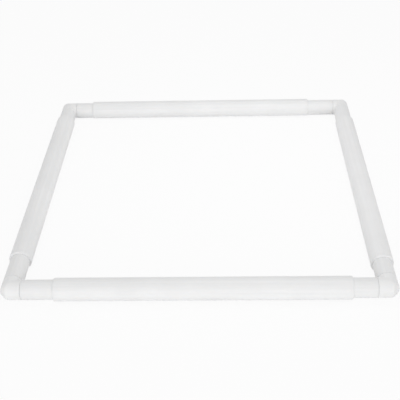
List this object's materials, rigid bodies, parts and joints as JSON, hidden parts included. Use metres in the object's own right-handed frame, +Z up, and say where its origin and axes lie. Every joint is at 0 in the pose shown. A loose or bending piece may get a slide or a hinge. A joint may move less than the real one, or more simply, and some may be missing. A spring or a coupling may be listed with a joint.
{
  "type": "square embroidery frame",
  "caption": "Square tube embroidery frame with push-in corner elbows and clip-on C-shaped clamps that roll to tension the cloth.",
  "frame": {"origin": "middle of the frame, on the surface that its four tubes rest on", "axes": "+X to the right along the front tube, +Y from the front tube to the back tube, +Z up, away from the clamps' open side"},
  "size_m": [0.4358, 0.4358, 0.0239],
  "materials": {
    "tube_plastic": "satin extruded, fine lines along the tube",
    "elbow_plastic": "satin moulded",
    "clamp_plastic": "satin extruded, fine lines along the clamp"
  },
  "bodies": {
    "front_tube": {"front_tube": "tube_plastic"},
    "front_left_elbow": {"front_left_elbow": "elbow_plastic"},
    "front_right_elbow": {"front_right_elbow": "elbow_plastic"},
    "left_tube": {"left_tube": "tube_plastic"},
    "right_tube": {"right_tube": "tube_plastic"},
    "back_left_elbow": {"back_left_elbow": "elbow_plastic"},
    "back_right_elbow": {"back_right_elbow": "elbow_plastic"},
    "back_tube": {"back_tube": "tube_plastic"},
    "front_clamp": {"front_clamp": "clamp_plastic"},
    "back_clamp": {"back_clamp": "clamp_plastic"},
    "left_clamp": {"left_clamp": "clamp_plastic"},
    "right_clamp": {"right_clamp": "clamp_plastic"}
  },
  "joints": [
    {"name": "left_side_pull", "type": "slide", "parent": "front_tube", "child": "front_left_elbow", "axis": [-1, 0, 0], "range_m": [0, 0.03]},
    {"name": "left_side_pull_at_back", "type": "slide", "parent": "back_left_elbow", "child": "back_tube", "axis": [1, 0, 0], "range_m": [0, 0.03]},
    {"name": "right_side_pull", "type": "slide", "parent": "front_tube", "child": "front_right_elbow", "axis": [1, 0, 0], "range_m": [0, 0.03]},
    {"name": "front_side_pull", "type": "slide", "parent": "front_left_elbow", "child": "left_tube", "axis": [0, 1, 0], "range_m": [0, 0.03]},
    {"name": "front_side_pull_at_right", "type": "slide", "parent": "front_right_elbow", "child": "right_tube", "axis": [0, 1, 0], "range_m": [0, 0.03]},
    {"name": "back_side_pull", "type": "slide", "parent": "left_tube", "child": "back_left_elbow", "axis": [0, 1, 0], "range_m": [0, 0.03]},
    {"name": "back_side_pull_at_right", "type": "slide", "parent": "right_tube", "child": "back_right_elbow", "axis": [0, 1, 0], "range_m": [0, 0.03]},
    {"name": "front_clamp_roll", "type": "hinge", "parent": "front_tube", "child": "front_clamp", "pos_m": [0.0045, -0.205, 0.011], "axis": [1, 0, 0], "continuous": true},
    {"name": "back_clamp_roll", "type": "hinge", "parent": "back_tube", "child": "back_clamp", "pos_m": [-0.0065, 0.205, 0.011], "axis": [-1, 0, 0], "continuous": true},
    {"name": "left_clamp_roll", "type": "hinge", "parent": "left_tube", "child": "left_clamp", "pos_m": [-0.205, 0.0065, 0.011], "axis": [0, -1, 0], "continuous": true},
    {"name": "right_clamp_roll", "type": "hinge", "parent": "right_tube", "child": "right_clamp", "pos_m": [0.205, -0.0045, 0.011], "axis": [0, 1, 0], "continuous": true}
  ],
  "couplings": [
    {"joint": "left_side_pull_at_back", "follows": "left_side_pull", "ratio": 1},
    {"joint": "front_side_pull_at_right", "follows": "front_side_pull", "ratio": 1},
    {"joint": "back_side_pull_at_right", "follows": "back_side_pull", "ratio": 1}
  ]
}
